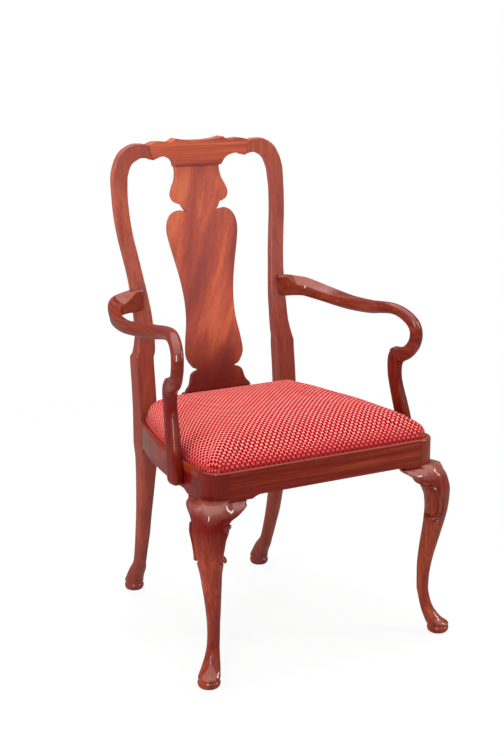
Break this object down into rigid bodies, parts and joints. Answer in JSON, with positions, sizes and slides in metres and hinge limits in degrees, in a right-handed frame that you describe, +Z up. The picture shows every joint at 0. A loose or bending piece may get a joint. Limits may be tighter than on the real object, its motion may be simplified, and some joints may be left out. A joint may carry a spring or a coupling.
{
  "type": "armchair",
  "caption": "Wooden armchair with cabriole front legs, a vase-shaped back splat, crook arms and an upholstered slip seat that lifts out of the seat rails.",
  "frame": {"origin": "on the floor, under the middle of the chair's bounding box", "axes": "+Z up, +Y towards the back of the chair, +X towards the right of the picture's view from the front"},
  "size_m": [0.5948, 0.5894, 1],
  "materials": {
    "polished_mahogany": "polished reddish brown",
    "plain_hardwood": "bare",
    "jute_webbing": "plain woven",
    "red_fabric": "woven with a small lattice"
  },
  "bodies": {
    "chair_frame": {"rear_post_left": "polished_mahogany", "rear_post_right": "polished_mahogany", "crest_rail": "polished_mahogany", "splat": "polished_mahogany", "splat_shoe": "polished_mahogany", "front_rail": "polished_mahogany", "rear_rail": "polished_mahogany", "side_rail_left": "polished_mahogany", "side_rail_right": "polished_mahogany", "front_leg_left": "polished_mahogany", "front_leg_right": "polished_mahogany", "front_knee_block_left": "polished_mahogany", "front_knee_block_right": "polished_mahogany", "side_knee_block_left": "polished_mahogany", "side_knee_block_right": "polished_mahogany", "arm_left": "polished_mahogany", "arm_right": "polished_mahogany", "arm_support_left": "polished_mahogany", "arm_support_right": "polished_mahogany", "front_corner_block_left": "plain_hardwood", "front_corner_block_right": "plain_hardwood", "rear_corner_block_left": "plain_hardwood", "rear_corner_block_right": "plain_hardwood"},
    "slip_seat": {"seat_frame_front": "plain_hardwood", "seat_frame_rear": "plain_hardwood", "seat_frame_left": "plain_hardwood", "seat_frame_right": "plain_hardwood", "webbing_long_1": "jute_webbing", "webbing_long_2": "jute_webbing", "webbing_long_3": "jute_webbing", "webbing_cross_1": "jute_webbing", "webbing_cross_2": "jute_webbing", "webbing_cross_3": "jute_webbing", "seat_cushion": "red_fabric"}
  },
  "joints": [
    {"name": "slip_seat_lift", "type": "slide", "parent": "chair_frame", "child": "slip_seat", "axis": [0, 0, 1], "range_m": [0, 0.07]}
  ]
}
